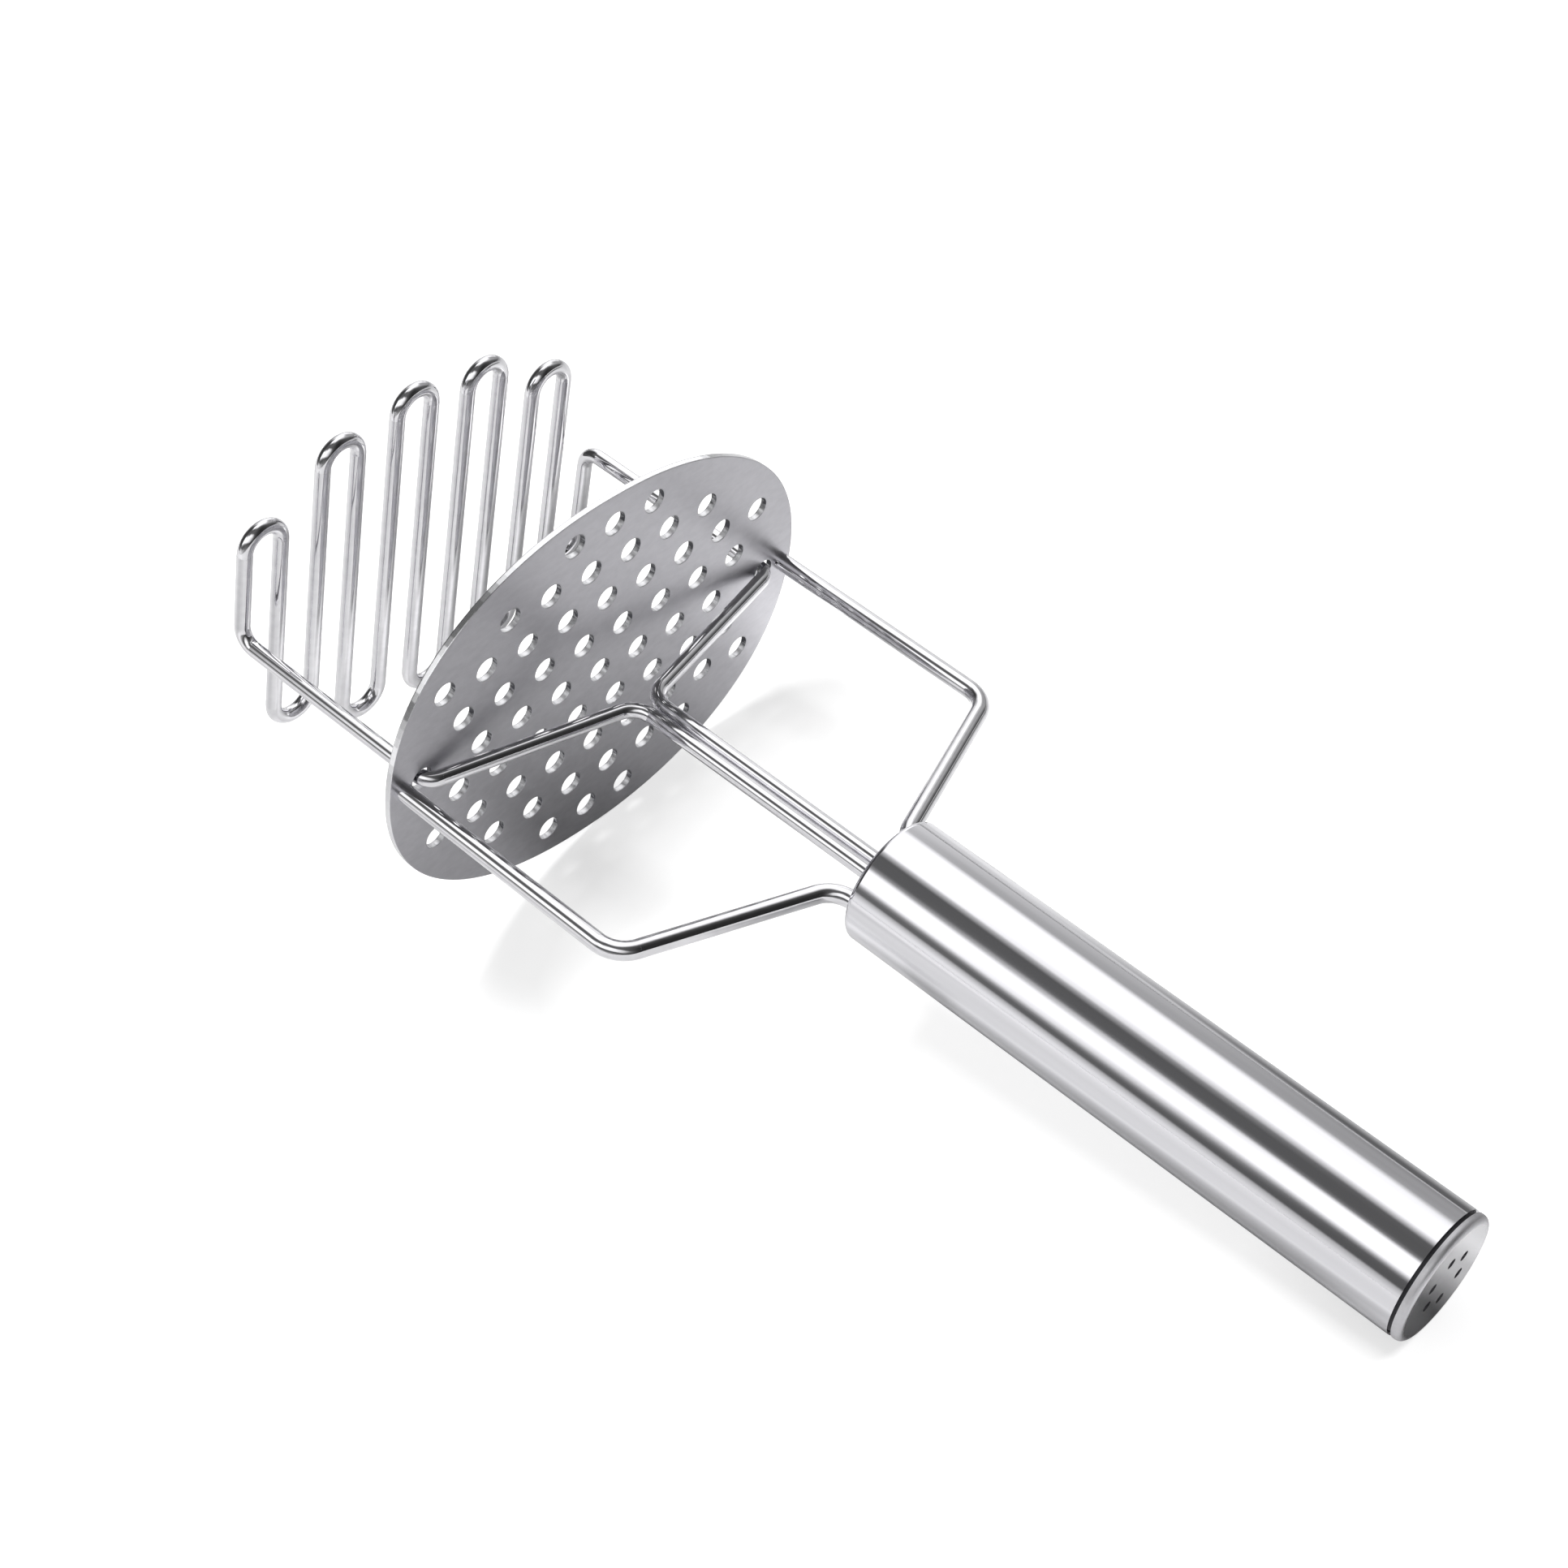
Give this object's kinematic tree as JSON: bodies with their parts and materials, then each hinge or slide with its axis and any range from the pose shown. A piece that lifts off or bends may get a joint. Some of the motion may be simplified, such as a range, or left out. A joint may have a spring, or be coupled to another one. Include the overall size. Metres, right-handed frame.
{
  "type": "potato masher",
  "caption": "Spring masher: a round handle on a bent wire frame with an oval perforated plate, and a wave of wire that slides up through the plate against a spring.",
  "frame": {"origin": "under the middle of the masher, on the surface that its wave stands on", "axes": "+Z along the handle towards its end, +X across the two side wires, +Y along the legs of the wave"},
  "size_m": [0.104, 0.0826, 0.2388],
  "materials": {
    "wire": "polished steel wire",
    "plate": "satin",
    "handle": "polished",
    "cap": "satin",
    "inner_steel": "plain",
    "spring": "plain",
    "nylon": "moulded"
  },
  "bodies": {
    "handle": {"handle_tube": "handle", "end_cap": "cap", "front_plug": "nylon", "stem_guide": "nylon", "spring_seat": "inner_steel", "spring": "spring", "frame_wire_left": "wire", "frame_wire_right": "wire", "press_plate": "plate"},
    "masher": {"masher_wire": "wire", "stem_ferrule": "inner_steel", "slider": "nylon"}
  },
  "joints": [
    {"name": "masher_slide", "type": "slide", "parent": "handle", "child": "masher", "axis": [0, 0, 1], "range_m": [0, 0.042], "stiffness_N_per_m": 400, "springref_m": -0.02, "deforming": ["spring"]}
  ]
}
